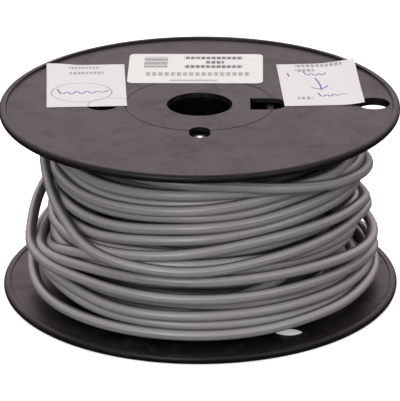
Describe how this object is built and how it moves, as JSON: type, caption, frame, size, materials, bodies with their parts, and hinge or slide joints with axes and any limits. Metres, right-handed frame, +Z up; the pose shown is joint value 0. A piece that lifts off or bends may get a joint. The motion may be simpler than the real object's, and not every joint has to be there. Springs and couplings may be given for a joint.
{
  "type": "coil of electrical wire on a plastic spool",
  "caption": "Random-wound coil of grey insulated wire on a black moulded spool that stands on one flange, with paper labels on the upper flange.",
  "frame": {"origin": "centre of the lower flange's resting face, on the spool's axis", "axes": "+Z up along the spool's axis, through the arbor bore; +X towards the drive slot in the upper flange, the labels lie towards +Y"},
  "size_m": [0.165, 0.165, 0.0816],
  "materials": {
    "spool_plastic": "black moulded plastic, satin, lightly scuffed and dusty",
    "wire_insulation": "grey extruded PVC insulation, semi-matte",
    "label_paper": "off-white uncoated label paper"
  },
  "bodies": {
    "root": {"flange_top": "spool_plastic", "flange_bottom": "spool_plastic", "barrel": "spool_plastic", "wire_coil": "wire_insulation", "label_left": "label_paper", "label_centre": "label_paper", "label_right": "label_paper"}
  },
  "joints": []
}
